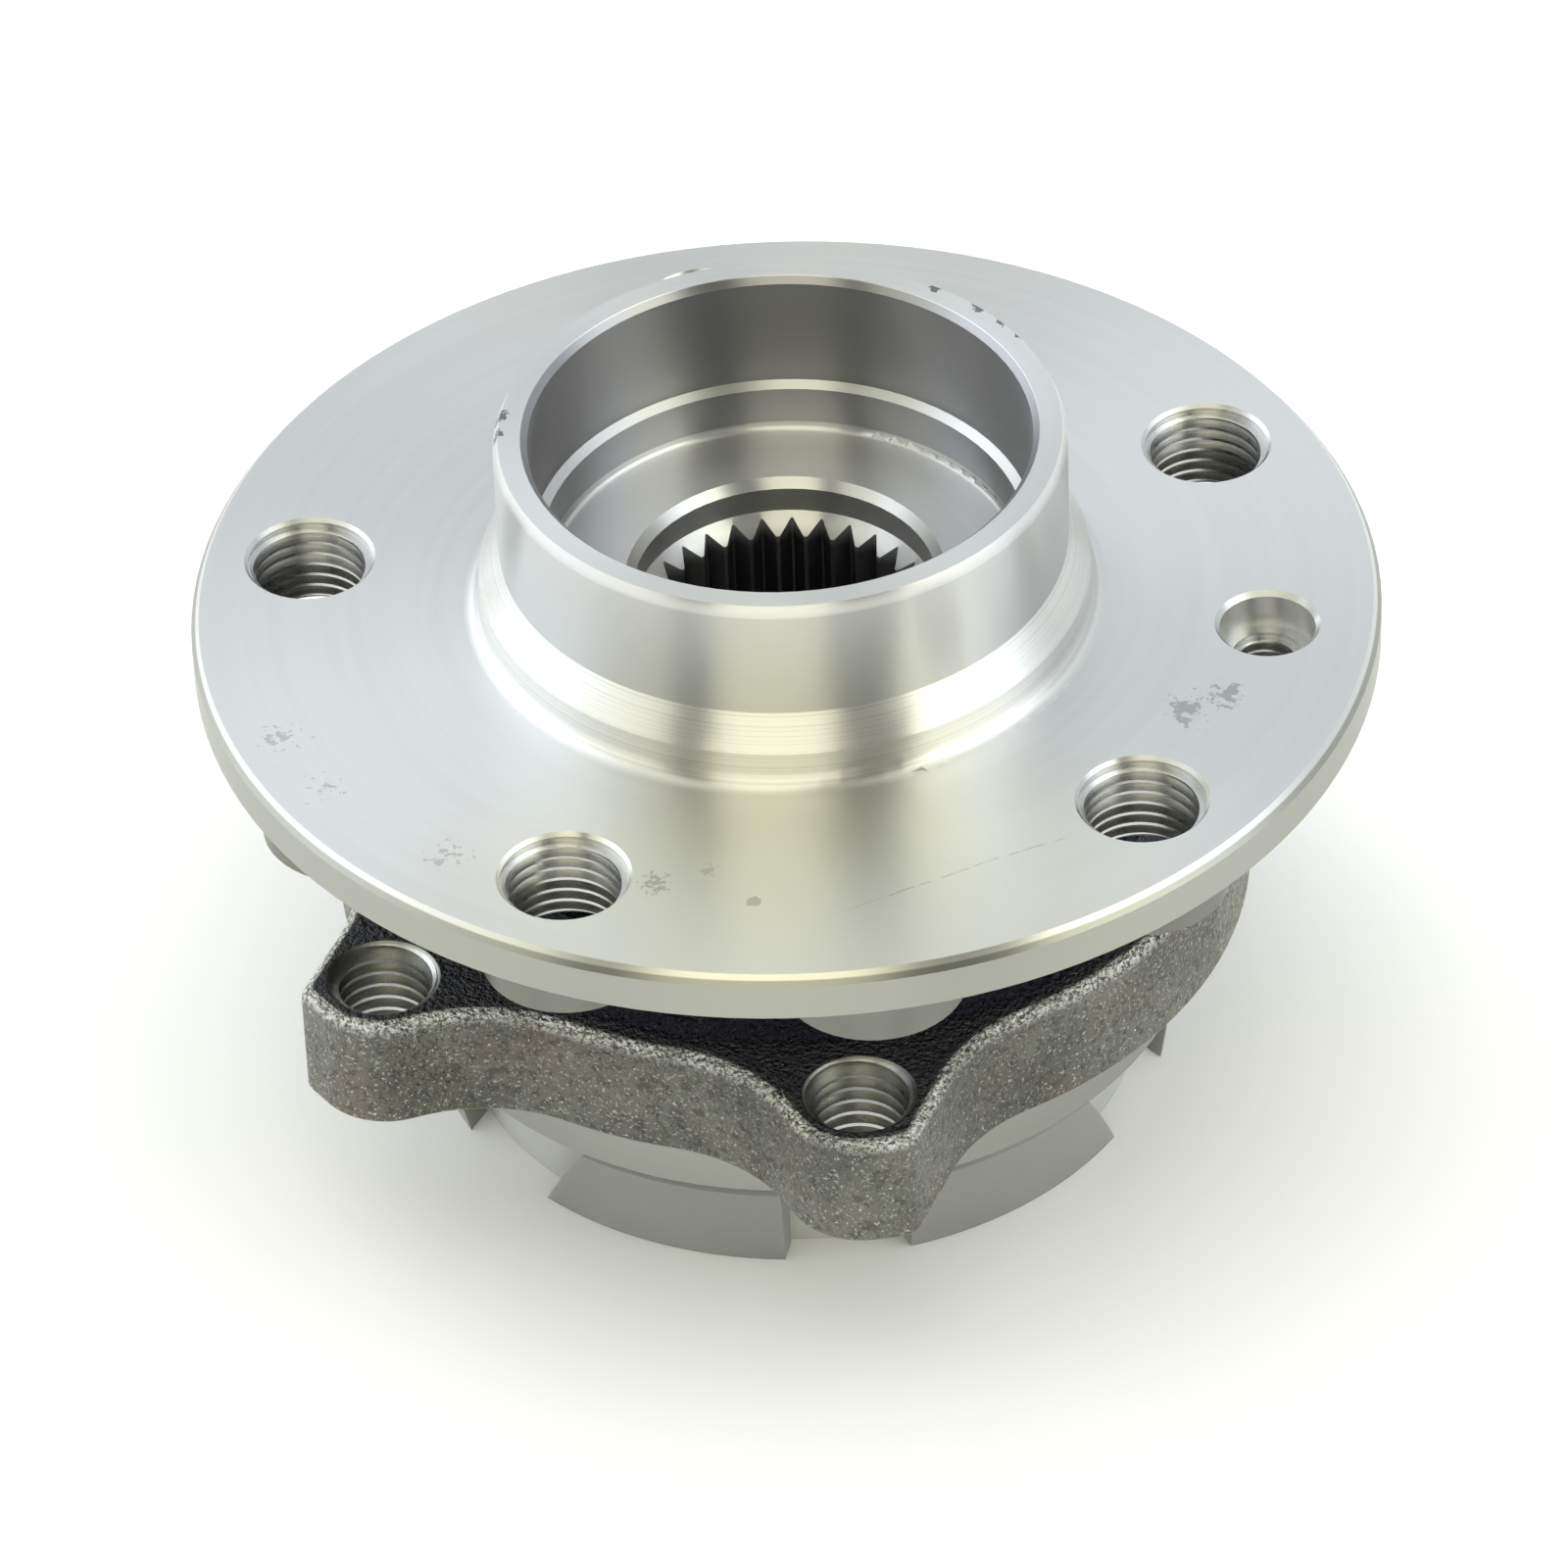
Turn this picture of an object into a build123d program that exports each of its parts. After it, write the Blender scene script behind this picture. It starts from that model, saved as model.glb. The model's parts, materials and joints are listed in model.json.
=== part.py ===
from build123d import *
import math
import os

# Wheel hub bearing unit of a driven front axle: a flanged hub turns on two rows of
# balls inside an outer ring that bolts to the steering knuckle.
#
# Frame, in millimetres: the origin is on the bearing axis in the face that the brake
# disc and the wheel sit on, +Z points out to the wheel, and the four knuckle bolts
# stand in a rectangle whose sides lie along X and Y.

# ---------------------------------------------------------------- driving dimensions
# wheel flange of the hub
wheel_flange_radius = 66.4
wheel_flange_thickness = 5.8
flange_edge_chamfer = 0.9
flange_edge_chamfer_depth = 1.15
flange_back_chamfer = 0.4
wheel_bolt_circle = 108.0
wheel_bolt_count = 5
wheel_bolt_angle = -94.3            # where the hub stands at rest, degrees about Z
wheel_bolt_radius = 7.0             # M14
bolt_mouth_chamfer = 0.4
bolt_boss_radius = 9.45
between_boss_radius = 10.25
boss_height = 5.6                   # below the back of the flange

# brake disc locating screw, in the first boss between two wheel bolts
disc_screw_radius = 4.0             # M8
disc_screw_recess_radius = 5.35
disc_screw_recess_depth = 4.6
disc_screw_mouth_chamfer = 0.55

# wheel pilot ring
pilot_radius = 31.7
pilot_height = 22.5
pilot_lead_in = 0.6
pilot_lead_in_height = 1.3
pilot_step_height = 8.2
disc_seat_radius = 34.1
disc_seat_height = 4.3
disc_seat_fillet = 2.0
recess_radius = 27.9
recess_mouth_chamfer = 0.75
recess_step_height = 8.35
recess_step_width = 1.05
recess_floor_height = 2.2
recess_floor_fillet = 0.8
axle_collar_radius = 16.9
axle_collar_chamfer = 1.0
axle_collar_depth = 4.05            # below the recess floor

# drive spline
spline_tip_radius = 14.8
spline_root_radius = 16.3
spline_teeth = 30
spline_first_groove = 97.6          # degrees
spline_groove_share = 0.83          # of one pitch, at the tooth tips
spline_groove_floor = 0.24

# hub back: neck, seal land and stub
neck_foot_radius = 43.0
neck_face_radius = 38.5
neck_face_depth = 10.9              # face that the outboard axial lips run towards
neck_fillet = 2.0
stub_collar_radius = 27.4
stub_collar_length = 4.9
stub_collar_rounding = 1.4

# bearing
ball_radius = 5.556                 # 7/16 inch ball
balls_per_row = 14
pitch_radius = 32.3
outboard_row_depth = 21.6
row_spacing = 16.6
contact_angle = 40.0
groove_conformity = 1.04            # groove radius over ball radius
ball_running_gap = 0.12             # at the contact angle
inner_low_land_radius = 26.9
inner_high_land_radius = 29.9
outer_high_land_radius = 35.2
outer_low_land_radius = 37.4
inner_ring_bore_radius = 22.5
inner_ring_top_depth = 31.0
inner_ring_length = 18.6
inner_ring_corner = 0.6

# cages
cage_inner_radius = 30.9
cage_outer_radius = 33.9
cage_base_thickness = 1.9           # beyond the pockets
cage_finger_reach = 2.2             # past the ball centres
cage_pocket_gap = 0.2

# outer ring and its knuckle flange
outer_ring_top_depth = 13.0
outer_ring_end_depth = 50.2
barrel_radius = 47.5
barrel_chamfer = 0.8
barrel_root_fillet = 1.5
knuckle_face_depth = 38.2
knuckle_flange_thickness = 13.8
knuckle_disc_radius = 51.9
knuckle_bolt_spacing_x = 56.5
knuckle_bolt_spacing_y = 101.1
knuckle_bolt_radius = 6.0           # M12
knuckle_mouth_chamfer = 0.2
ear_nose_radius = 8.4
ear_side_width = 8.2               # from a bolt's middle to the ear's straight outer side
ear_corner_rounding = 2.5
ear_root_fillet = 20.0
flange_rim_rounding = 1.8
spigot_radius = 45.4
spigot_chamfer = 1.0
seal_bore_radius = 38.1
seal_bore_chamfer = 0.5
outboard_seal_bore_length = 3.0
inboard_seal_bore_length = 6.1

# seals and speed encoder
case_thickness = 0.7
case_edge_gap = 0.3                 # below the outboard end of the outer ring
outboard_case_length = 2.2
outboard_case_inner_radius = 33.2
inboard_case_depth = 44.2
inboard_case_length = 2.8
inboard_case_inner_radius = 32.0
rubber_thickness = 0.7
lip_thickness = 0.5
lip_gap = 0.25
slinger_depth = 44.6
slinger_length = 2.9
slinger_flange_radius = 37.0
encoder_thickness = 0.9
encoder_inner_radius = 31.2

# protective cap under the spigot
cap_foot_depth = 62.3
cap_wall = 1.5
cap_wall_radius = 39.0
cap_plug_gap = 0.1
cap_plug_length = 1.3
cap_foot_thickness = 3.4            # out from the wall, at the ground
cap_foot_flare = 1.3                # further out at the top
cap_foot_bevel = 1.1
cap_foot_gap = 0.3                  # under the end of the outer ring
cap_pairs = 3
cap_pair_angle = -60.8
cap_foot_start = 9.7                # degrees from the middle of a pair
cap_foot_end = 50.0
cap_foot_slant = 11.0               # degrees that the outer end leans back at its top
cap_foot_start_turn = 10.0          # degrees that the inner end is turned from the radius
cap_foot_end_turn = 35.0            # degrees that the outer end is turned from the radius

# ---------------------------------------------------------------- derived places
flange_back = -wheel_flange_thickness
boss_bottom = flange_back - boss_height
bolt_pitch_angle = 360 / wheel_bolt_count
disc_screw_angle = wheel_bolt_angle + 1.5 * bolt_pitch_angle
groove_radius = ball_radius * groove_conformity
groove_offset = groove_radius - ball_radius - ball_running_gap
outboard_row = -outboard_row_depth
inboard_row = outboard_row - row_spacing
seal_land_end = outboard_row + ball_radius * 0.9
inner_ring_top = -inner_ring_top_depth
inner_ring_end = inner_ring_top - inner_ring_length
stub_end = inner_ring_end - stub_collar_length
outer_top = -outer_ring_top_depth
outer_end = -outer_ring_end_depth
knuckle_face = -knuckle_face_depth
knuckle_top = knuckle_face + knuckle_flange_thickness
ear_radius = math.hypot(knuckle_bolt_spacing_x, knuckle_bolt_spacing_y) / 2
ear_angle = math.degrees(math.atan2(knuckle_bolt_spacing_y, knuckle_bolt_spacing_x))
outboard_case_top = outer_top - case_edge_gap
outboard_case_web = outboard_case_top - outboard_case_length
inboard_case_web = -inboard_case_depth
slinger_top = -slinger_depth
slinger_end = slinger_top - slinger_length
slinger_radius = inner_high_land_radius + case_thickness
cap_foot = -cap_foot_depth
cap_foot_radius = cap_wall_radius + cap_foot_thickness
cap_foot_top_radius = cap_foot_radius + cap_foot_flare
cap_floor = cap_foot + cap_wall
cap_foot_top = outer_end - cap_foot_gap


# ---------------------------------------------------------------- helpers
def turned(points):
    """Solid of revolution about Z from (radius, z) points."""
    return revolve(Plane.XZ * make_face(Polyline(*points, close=True)), Axis.Z)


def around(count, start=0.0):
    """Angles of evenly spaced copies, in degrees."""
    return [start + 360 * index / count for index in range(count)]


def at_angle(angle, radius, z=0.0):
    """Place on a circle about the bearing axis."""
    return Pos(radius * math.cos(math.radians(angle)), radius * math.sin(math.radians(angle)), z)


def drilled(part, angle, radius, hole_radius, top, bottom, mouth=0.0, foot=0.0):
    """Part with one axial hole, opened by a 45 degree chamfer at its mouth and its foot."""
    place = at_angle(angle, radius, (top + bottom) / 2)
    part -= place * Cylinder(hole_radius, top - bottom)
    if mouth > 0:
        cone = Cone(hole_radius, hole_radius + 2 * mouth, 2 * mouth)
        part -= at_angle(angle, radius, top) * cone
    if foot > 0:
        cone = Cone(hole_radius + 2 * foot, hole_radius, 2 * foot)
        part -= at_angle(angle, radius, bottom) * cone
    return part


def race_ring(row, side, inward):
    """Torus that cuts a ball groove: side is the axial way to the middle of the bearing,
    and inward is 1 for the inner rings and -1 for the outer ring."""
    lean = math.radians(contact_angle)
    radius = pitch_radius + inward * groove_offset * math.cos(lean)
    z = row + inward * side * groove_offset * math.sin(lean)
    return Pos(0, 0, z) * Torus(radius, groove_radius)


# ---------------------------------------------------------------- hub and inner ring
def hub_profile():
    """Half section of the hub without holes, bosses, spline and ball groove."""
    chamfer_z = spline_root_radius - spline_tip_radius + 0.4
    floor = recess_floor_height
    collar_end = floor - axle_collar_depth
    step_radius = recess_radius - recess_step_width
    cone_depth = axle_collar_radius - spline_tip_radius
    return [
        (spline_tip_radius, stub_end + chamfer_z),
        (spline_tip_radius, collar_end - cone_depth),
        (axle_collar_radius, collar_end),
        (axle_collar_radius, floor - axle_collar_chamfer),
        (axle_collar_radius + axle_collar_chamfer, floor),
        (step_radius, floor),
        (step_radius, recess_step_height),
        (recess_radius, recess_step_height),
        (recess_radius, pilot_height - recess_mouth_chamfer),
        (recess_radius + recess_mouth_chamfer, pilot_height),
        (pilot_radius - pilot_lead_in, pilot_height),
        (pilot_radius, pilot_height - pilot_lead_in_height),
        (pilot_radius, pilot_step_height),
        (disc_seat_radius, disc_seat_height),
        (disc_seat_radius, 0),
        (wheel_flange_radius - flange_edge_chamfer, 0),
        (wheel_flange_radius, -flange_edge_chamfer_depth),
        (wheel_flange_radius, flange_back + flange_back_chamfer),
        (wheel_flange_radius - flange_back_chamfer, flange_back),
        (neck_foot_radius, flange_back),
        (neck_face_radius, -neck_face_depth),
        (inner_high_land_radius + case_thickness, -neck_face_depth),
        (inner_high_land_radius + case_thickness, seal_land_end),
        (inner_high_land_radius, seal_land_end),
        (inner_high_land_radius, outboard_row),
        (inner_low_land_radius, outboard_row),
        (inner_low_land_radius, inner_ring_top),
        (inner_ring_bore_radius, inner_ring_top),
        (inner_ring_bore_radius, inner_ring_end),
        (stub_collar_radius, inner_ring_end),
        (stub_collar_radius, stub_end + stub_collar_rounding),
        (stub_collar_radius - stub_collar_rounding, stub_end),
        (spline_tip_radius + chamfer_z, stub_end),
    ]


def corner_rounding(part, radius, z, size):
    """Fillet on the circular edge that runs at a radius and a height."""
    def is_corner(edge):
        centre = edge.center(CenterOf.BOUNDING_BOX)
        on_axis = math.hypot(centre.X, centre.Y) < 0.01
        return on_axis and abs(centre.Z - z) < 0.01 and abs(edge.bounding_box().size.X / 2 - radius) < 0.01
    return fillet(part.edges().filter_by(is_corner), size)


def spline_cutter():
    """Pointed grooves between the teeth of the drive spline."""
    half_floor = spline_groove_floor / 2
    half_tip = spline_tip_radius * math.tan(math.radians(180 / spline_teeth * spline_groove_share))
    flank_slope = (half_tip - half_floor) / (spline_root_radius - spline_tip_radius)
    overlap = 0.3
    mouth = half_tip + flank_slope * overlap
    groove = Polygon(
        (spline_tip_radius - overlap, -mouth),
        (spline_root_radius, -half_floor),
        (spline_root_radius, half_floor),
        (spline_tip_radius - overlap, mouth),
        align=None,
    )
    star = Sketch() + [Rot(0, 0, angle) * groove for angle in around(spline_teeth, spline_first_groove)]
    length = recess_floor_height - axle_collar_depth - stub_end
    return Pos(0, 0, stub_end) * extrude(star, length)


def wheel_hub():
    """Hub forging: pilot ring, wheel flange with its bosses, outboard race and stub."""
    step_radius = recess_radius - recess_step_width
    hub = turned(hub_profile())
    hub = corner_rounding(hub, disc_seat_radius, 0, disc_seat_fillet)
    hub = corner_rounding(hub, step_radius, recess_floor_height, recess_floor_fillet)
    hub = corner_rounding(hub, inner_high_land_radius + case_thickness, -neck_face_depth, neck_fillet)
    bolt_angles = around(wheel_bolt_count, wheel_bolt_angle)
    boss_z = (flange_back + boss_bottom) / 2
    for angle in bolt_angles:
        hub += at_angle(angle, wheel_bolt_circle / 2, boss_z) * Cylinder(bolt_boss_radius, boss_height)
        between = angle + bolt_pitch_angle / 2
        hub += at_angle(between, wheel_bolt_circle / 2, boss_z) * Cylinder(between_boss_radius, boss_height)
    for angle in bolt_angles:
        hub = drilled(hub, angle, wheel_bolt_circle / 2, wheel_bolt_radius, 0, boss_bottom,
                      bolt_mouth_chamfer, bolt_mouth_chamfer)
    hub = drilled(hub, disc_screw_angle, wheel_bolt_circle / 2, disc_screw_radius, 0, boss_bottom)
    hub = drilled(hub, disc_screw_angle, wheel_bolt_circle / 2, disc_screw_recess_radius,
                  0, -disc_screw_recess_depth, disc_screw_mouth_chamfer)
    hub -= race_ring(outboard_row, -1, 1)
    return hub - spline_cutter()


def inner_ring():
    """Small inner ring with the inboard race, held on the stub by its rolled collar."""
    ring = turned([
        (inner_ring_bore_radius, inner_ring_top),
        (inner_low_land_radius - inner_ring_corner, inner_ring_top),
        (inner_low_land_radius, inner_ring_top - inner_ring_corner),
        (inner_low_land_radius, inboard_row),
        (inner_high_land_radius, inboard_row),
        (inner_high_land_radius, inner_ring_end + inner_ring_corner),
        (inner_high_land_radius - inner_ring_corner, inner_ring_end),
        (inner_ring_bore_radius, inner_ring_end),
    ])
    return ring - race_ring(inboard_row, 1, 1)


# ---------------------------------------------------------------- outer ring
def arc_about(centre, start, end):
    """Arc from start to end about a centre, the short way round."""
    middle = ((start - centre) + (end - centre)).normalized() * (start - centre).length
    return ThreePointArc(start, centre + middle, end)


def knuckle_outline():
    """Outline of the forged flange: a disc with four bolt ears. Each ear has a straight outer
    side, a tip on one circle about the axis, and a nose round its bolt on the inner side."""
    axis = Vector(0, 0, 0)
    bolt = Vector(knuckle_bolt_spacing_x / 2, knuckle_bolt_spacing_y / 2, 0)
    side = bolt.X + ear_side_width
    tip_radius = ear_radius + ear_nose_radius
    root_radius = knuckle_disc_radius + ear_root_fillet
    root_x = side + ear_root_fillet
    outer_root = Vector(root_x, math.sqrt(root_radius**2 - root_x**2), 0)
    corner_radius = tip_radius - ear_corner_rounding
    corner_x = side - ear_corner_rounding
    corner = Vector(corner_x, math.sqrt(corner_radius**2 - corner_x**2), 0)
    nose_reach = ear_nose_radius + ear_root_fillet
    cosine = (ear_radius**2 + root_radius**2 - nose_reach**2) / (2 * ear_radius * root_radius)
    inner_root = bolt.normalized().rotate(Axis.Z, math.degrees(math.acos(cosine))) * root_radius
    disc_outer = outer_root.normalized() * knuckle_disc_radius
    side_start = Vector(side, outer_root.Y, 0)
    side_end = Vector(side, corner.Y, 0)
    tip_start = corner.normalized() * tip_radius
    tip_end = bolt.normalized() * tip_radius
    nose_end = bolt + (inner_root - bolt).normalized() * ear_nose_radius
    disc_inner = inner_root.normalized() * knuckle_disc_radius
    quarter = [
        arc_about(axis, Vector(knuckle_disc_radius, 0, 0), disc_outer),
        arc_about(outer_root, disc_outer, side_start),
        Line(side_start, side_end),
        arc_about(corner, side_end, tip_start),
        arc_about(axis, tip_start, tip_end),
        arc_about(bolt, tip_end, nose_end),
        arc_about(inner_root, nose_end, disc_inner),
        arc_about(axis, disc_inner, Vector(0, knuckle_disc_radius, 0)),
    ]
    half = quarter + [edge.mirror(Plane.YZ) for edge in quarter]
    return make_face(half + [edge.mirror(Plane.XZ) for edge in half])


def outer_ring():
    """Outer ring: two races, seal bores, knuckle flange and the spigot below it."""
    flange = Pos(0, 0, knuckle_face) * extrude(knuckle_outline(), knuckle_flange_thickness)
    rim = flange.faces().sort_by(Axis.Z)[-1].outer_wire().edges()
    flange = fillet(rim, flange_rim_rounding)
    body = turned([
        (0, outer_top),
        (barrel_radius - barrel_chamfer, outer_top),
        (barrel_radius, outer_top - barrel_chamfer),
        (barrel_radius, knuckle_face + 1),
        (spigot_radius, knuckle_face + 1),
        (spigot_radius, outer_end + spigot_chamfer),
        (spigot_radius - spigot_chamfer, outer_end),
        (0, outer_end),
    ])
    ring = corner_rounding(flange + body, barrel_radius, knuckle_top, barrel_root_fillet)
    bore = turned([
        (0, outer_top),
        (seal_bore_radius + seal_bore_chamfer, outer_top),
        (seal_bore_radius, outer_top - seal_bore_chamfer),
        (seal_bore_radius, outer_top - outboard_seal_bore_length),
        (outer_low_land_radius, outer_top - outboard_seal_bore_length),
        (outer_low_land_radius, outboard_row),
        (outer_high_land_radius, outboard_row),
        (outer_high_land_radius, inboard_row),
        (outer_low_land_radius, inboard_row),
        (outer_low_land_radius, outer_end + inboard_seal_bore_length),
        (seal_bore_radius, outer_end + inboard_seal_bore_length),
        (seal_bore_radius, outer_end + seal_bore_chamfer),
        (seal_bore_radius + seal_bore_chamfer, outer_end),
        (0, outer_end),
    ])
    ring = ring - bore - race_ring(outboard_row, -1, -1) - race_ring(inboard_row, 1, -1)
    for angle in (ear_angle, 180 - ear_angle, 180 + ear_angle, -ear_angle):
        ring = drilled(ring, angle, ear_radius, knuckle_bolt_radius, knuckle_top, knuckle_face,
                       knuckle_mouth_chamfer, knuckle_mouth_chamfer)
    return ring


# ---------------------------------------------------------------- balls and cages
def ball(row, angle):
    """One ball of a row."""
    return at_angle(angle, pitch_radius, row) * Sphere(ball_radius)


def cage(row, side):
    """Snap-in cage: a base ring on the side of the bearing's middle, with a finger
    between each pair of balls that reaches past their centres."""
    pocket = ball_radius + cage_pocket_gap
    base = row + side * (pocket + cage_base_thickness)
    tip = row - side * cage_finger_reach
    ring = turned([
        (cage_inner_radius, base),
        (cage_outer_radius, base),
        (cage_outer_radius, tip),
        (cage_inner_radius, tip),
    ])
    for angle in around(balls_per_row):
        ring -= at_angle(angle, pitch_radius, row) * Sphere(pocket)
    return ring


# ---------------------------------------------------------------- seals and encoder
def seal_case(start, web, inner_radius):
    """Pressed steel case: a sleeve in the seal bore and a web at one end of it."""
    way = math.copysign(case_thickness, start - web)
    return turned([
        (seal_bore_radius, start),
        (seal_bore_radius - case_thickness, start),
        (seal_bore_radius - case_thickness, web + way),
        (inner_radius, web + way),
        (inner_radius, web),
        (seal_bore_radius, web),
    ])


def outboard_seal_rubber():
    """Rubber bonded to the outboard case: one radial lip and two axial lips."""
    face = outboard_case_web + case_thickness
    top = face + rubber_thickness
    reach = -neck_face_depth - lip_gap
    inner = outboard_case_inner_radius
    outer = seal_bore_radius - case_thickness
    land = inner_high_land_radius + case_thickness + lip_gap
    outer_lip = (outer + inner) / 2 + 0.9
    inner_lip = inner + 0.3
    return turned([
        (outer, face),
        (outer, top),
        (outer_lip + lip_thickness, top),
        (outer_lip + 2 * lip_thickness, reach),
        (outer_lip + lip_thickness, reach),
        (outer_lip, top),
        (inner_lip + lip_thickness, top),
        (inner_lip + 2 * lip_thickness, reach),
        (inner_lip + lip_thickness, reach),
        (inner_lip - lip_thickness, top),
        (land, top + lip_thickness),
        (land, top),
        (inner - rubber_thickness, outboard_case_web),
        (inner, outboard_case_web),
        (inner, face),
    ])


def inboard_seal_rubber():
    """Rubber bonded to the inboard case, with lips towards the slinger."""
    face = inboard_case_web - case_thickness
    bottom = face - rubber_thickness
    reach = slinger_end + case_thickness + lip_gap
    inner = inboard_case_inner_radius
    outer = seal_bore_radius - case_thickness
    lip = (outer + inner) / 2
    return turned([
        (outer, face),
        (inner, face),
        (inner, inboard_case_web),
        (inner - rubber_thickness / 2, inboard_case_web),
        (slinger_radius + lip_gap, bottom),
        (slinger_radius + lip_gap, bottom - lip_thickness),
        (inner, bottom),
        (lip, bottom),
        (lip + lip_thickness, reach),
        (lip + 2 * lip_thickness, reach),
        (lip + lip_thickness, bottom),
        (outer, bottom),
    ])


def slinger():
    """Steel flinger pressed on the inner ring, in front of the inboard lips."""
    return turned([
        (inner_high_land_radius, slinger_top),
        (slinger_radius, slinger_top),
        (slinger_radius, slinger_end + case_thickness),
        (slinger_flange_radius, slinger_end + case_thickness),
        (slinger_flange_radius, slinger_end),
        (inner_high_land_radius, slinger_end),
    ])


def encoder_ring():
    """Magnetised rubber ring on the slinger, read by the wheel speed sensor."""
    return turned([
        (encoder_inner_radius, slinger_end),
        (slinger_flange_radius, slinger_end),
        (slinger_flange_radius, slinger_end - encoder_thickness),
        (encoder_inner_radius, slinger_end - encoder_thickness),
    ])


# ---------------------------------------------------------------- protective cap
def foot_side(angle, turn, z):
    """Inner and outer point of one end of a foot, on a line turned from the radius."""
    middle = Vector(cap_foot_radius, 0, 0).rotate(Axis.Z, angle) + Vector(0, 0, z)
    along = Vector(1, 0, 0).rotate(Axis.Z, angle + turn)
    return middle - along * (cap_foot_radius / 4), middle + along * cap_foot_radius


def cap_foot_block(mirror):
    """One foot of the cap, from the middle of its pair: an upright inner end, and an outer
    end that sweeps back towards the wall and leans back towards the top."""
    band = turned([
        (cap_wall_radius - cap_wall / 2, cap_foot),
        (cap_foot_radius, cap_foot),
        (cap_foot_top_radius, cap_foot_top - cap_foot_bevel),
        (cap_foot_top_radius - cap_foot_bevel, cap_foot_top),
        (cap_wall_radius - cap_wall / 2, cap_foot_top),
    ])
    sections = []
    for z, lean in ((cap_foot, 0.0), (cap_foot_top, cap_foot_slant)):
        start_inner, start_outer = foot_side(cap_foot_start, cap_foot_start_turn, z)
        end_inner, end_outer = foot_side(cap_foot_end - lean, cap_foot_end_turn, z)
        sections.append(make_face(Polyline(start_inner, start_outer, end_outer, end_inner, close=True)))
    foot = band & loft(sections)
    return foot.mirror(Plane.XZ) if mirror else foot


def protective_cap():
    """Plastic cap: a cup whose plug sits in the seal bore, on three pairs of feet."""
    plug_radius = seal_bore_radius - cap_plug_gap
    inner = cap_wall_radius - cap_wall
    cap = turned([
        (0, cap_foot),
        (cap_wall_radius, cap_foot),
        (cap_wall_radius, outer_end),
        (plug_radius, outer_end),
        (plug_radius, outer_end + cap_plug_length),
        (inner, outer_end + cap_plug_length),
        (inner, cap_floor),
        (0, cap_floor),
    ])
    for angle in around(cap_pairs, cap_pair_angle):
        for mirror in (False, True):
            cap += Rot(0, 0, angle) * cap_foot_block(mirror)
    return cap


# ---------------------------------------------------------------- build
def build():
    """All pieces by name."""
    pieces = {
        "wheel_hub": wheel_hub(),
        "inner_ring": inner_ring(),
        "outer_ring": outer_ring(),
        "outboard_cage": cage(outboard_row, -1),
        "inboard_cage": cage(inboard_row, 1),
        "outboard_seal_case": seal_case(
            outboard_case_top, outboard_case_web, outboard_case_inner_radius),
        "outboard_seal_rubber": outboard_seal_rubber(),
        "inboard_seal_case": seal_case(
            inboard_case_web - inboard_case_length, inboard_case_web, inboard_case_inner_radius),
        "inboard_seal_rubber": inboard_seal_rubber(),
        "seal_slinger": slinger(),
        "speed_encoder_ring": encoder_ring(),
        "protective_cap": protective_cap(),
    }
    for row_name, row in (("outboard", outboard_row), ("inboard", inboard_row)):
        for number, angle in enumerate(around(balls_per_row), start=1):
            pieces[f"{row_name}_ball_{number:02d}"] = ball(row, angle)
    return pieces


if __name__ == "__main__":
    os.makedirs("parts", exist_ok=True)
    for name, piece in build().items():
        export_step(piece, f"parts/{name}.step")
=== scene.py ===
# %% [markdown]
# # A wheel hub bearing, dressed piece by piece
#
# A hub bearing carries the wheel of a car: a turned steel hub spins on two rows of balls inside
# a forged ring that bolts to the steering knuckle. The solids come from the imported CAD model, so
# this lesson adds what a solid model leaves out: threads, tool marks, forging skin, handling
# stains, plastic that lets light through, and a studio to see them in.

# %% Load the frame
import json
import math

import bpy
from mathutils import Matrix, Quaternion, Vector

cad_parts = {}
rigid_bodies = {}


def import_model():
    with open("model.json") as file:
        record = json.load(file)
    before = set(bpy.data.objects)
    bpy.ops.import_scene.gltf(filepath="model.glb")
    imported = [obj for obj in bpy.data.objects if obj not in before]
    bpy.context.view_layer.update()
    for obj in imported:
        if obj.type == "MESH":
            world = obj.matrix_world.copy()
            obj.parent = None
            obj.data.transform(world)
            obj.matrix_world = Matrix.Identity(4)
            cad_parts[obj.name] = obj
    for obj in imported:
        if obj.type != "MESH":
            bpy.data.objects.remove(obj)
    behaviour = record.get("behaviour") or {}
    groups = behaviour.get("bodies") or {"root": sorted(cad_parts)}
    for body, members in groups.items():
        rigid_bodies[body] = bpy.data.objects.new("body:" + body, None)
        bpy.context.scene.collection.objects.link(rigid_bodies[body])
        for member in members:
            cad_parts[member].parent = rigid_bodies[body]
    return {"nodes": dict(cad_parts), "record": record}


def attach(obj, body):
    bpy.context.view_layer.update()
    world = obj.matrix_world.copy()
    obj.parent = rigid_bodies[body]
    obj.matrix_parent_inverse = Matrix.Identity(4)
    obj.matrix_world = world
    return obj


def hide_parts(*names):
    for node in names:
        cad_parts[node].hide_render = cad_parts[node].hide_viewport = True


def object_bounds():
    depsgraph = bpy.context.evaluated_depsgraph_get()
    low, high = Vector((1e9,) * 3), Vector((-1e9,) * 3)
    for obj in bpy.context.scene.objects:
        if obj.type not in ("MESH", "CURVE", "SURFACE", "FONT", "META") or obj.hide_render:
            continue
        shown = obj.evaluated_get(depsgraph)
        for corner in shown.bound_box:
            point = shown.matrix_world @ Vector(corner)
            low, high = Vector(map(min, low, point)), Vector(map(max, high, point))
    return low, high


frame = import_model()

MM = 0.001
cad_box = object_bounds()
print("nodes:", len(frame["nodes"]))

# %% [markdown]
# ## Reading the real sizes from the frame
#
# The record holds every mount with its radius and place, so hole positions are read from it and
# never typed twice. Lengths in the record are in millimetres and places are in metres, which is
# also what Blender works in here.

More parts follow.
